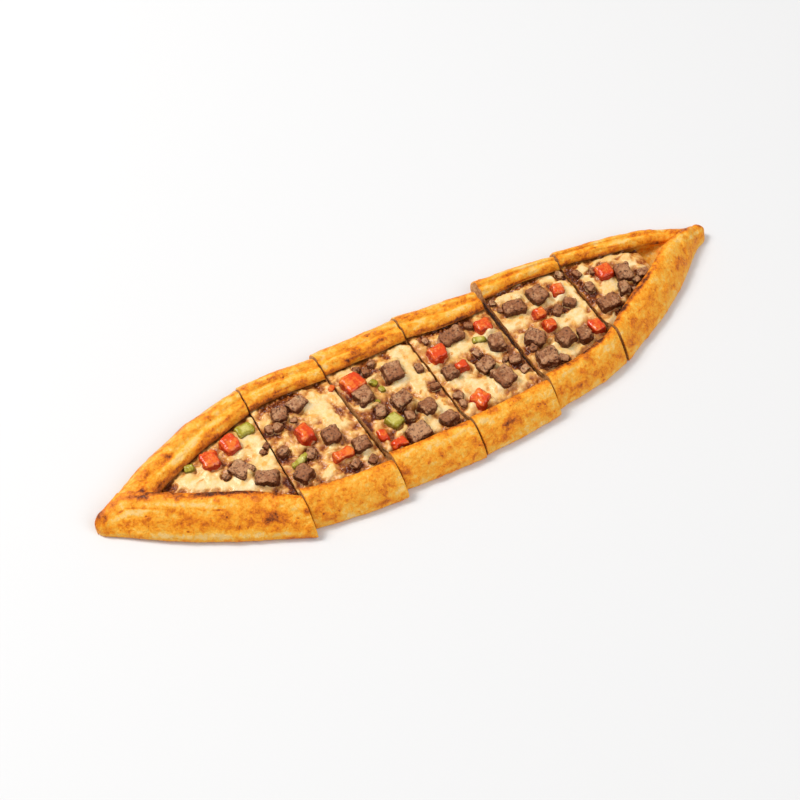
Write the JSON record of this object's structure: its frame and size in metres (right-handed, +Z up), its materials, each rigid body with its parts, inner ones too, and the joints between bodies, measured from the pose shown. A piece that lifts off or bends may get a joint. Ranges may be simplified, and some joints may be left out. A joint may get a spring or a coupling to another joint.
{
  "type": "turkish pide",
  "caption": "Long boat-shaped baked flatbread with rolled-up rims, cut across in slices, topped with melted cheese, diced meat, tomato and green pepper",
  "frame": {"origin": "middle of the box in X and Y, at the height of the flat underside the pide rests on", "axes": "+X along the boat from its broad rimmed left tip to its right tip, +Y across towards the back rim, +Z up out of the filling"},
  "size_m": [0.4318, 0.1159, 0.0197],
  "materials": {
    "crust": "golden baked dough, matte with a faint egg-wash sheen",
    "filling": "melted cheese and meat juices, satin",
    "meat": "rough browned meat, satin",
    "tomato": "moist glossy cooked tomato",
    "pepper": "moist cooked green pepper"
  },
  "bodies": {
    "root": {"crust_1": "crust", "crust_2": "crust", "crust_3": "crust", "crust_4": "crust", "crust_5": "crust", "crust_6": "crust", "filling_1": "filling", "filling_2": "filling", "filling_3": "filling", "filling_4": "filling", "filling_5": "filling", "filling_6": "filling", "meat_1": "meat", "meat_2": "meat", "meat_3": "meat", "meat_4": "meat", "meat_5": "meat", "meat_6": "meat", "meat_7": "meat", "meat_8": "meat", "meat_9": "meat", "meat_10": "meat", "meat_11": "meat", "meat_12": "meat", "meat_13": "meat", "meat_14": "meat", "meat_15": "meat", "meat_16": "meat", "meat_17": "meat", "meat_18": "meat", "meat_19": "meat", "meat_20": "meat", "meat_21": "meat", "meat_22": "meat", "meat_23": "meat", "meat_24": "meat", "meat_25": "meat", "meat_26": "meat", "meat_27": "meat", "pepper_1": "pepper", "pepper_2": "pepper", "pepper_3": "pepper", "pepper_4": "pepper", "tomato_1": "tomato", "tomato_2": "tomato", "tomato_3": "tomato", "tomato_4": "tomato", "tomato_5": "tomato", "tomato_6": "tomato", "tomato_7": "tomato", "tomato_8": "tomato", "tomato_9": "tomato", "tomato_10": "tomato", "tomato_11": "tomato", "tomato_12": "tomato", "tomato_13": "tomato", "tomato_14": "tomato", "tomato_15": "tomato", "tomato_16": "tomato"}
  },
  "joints": []
}
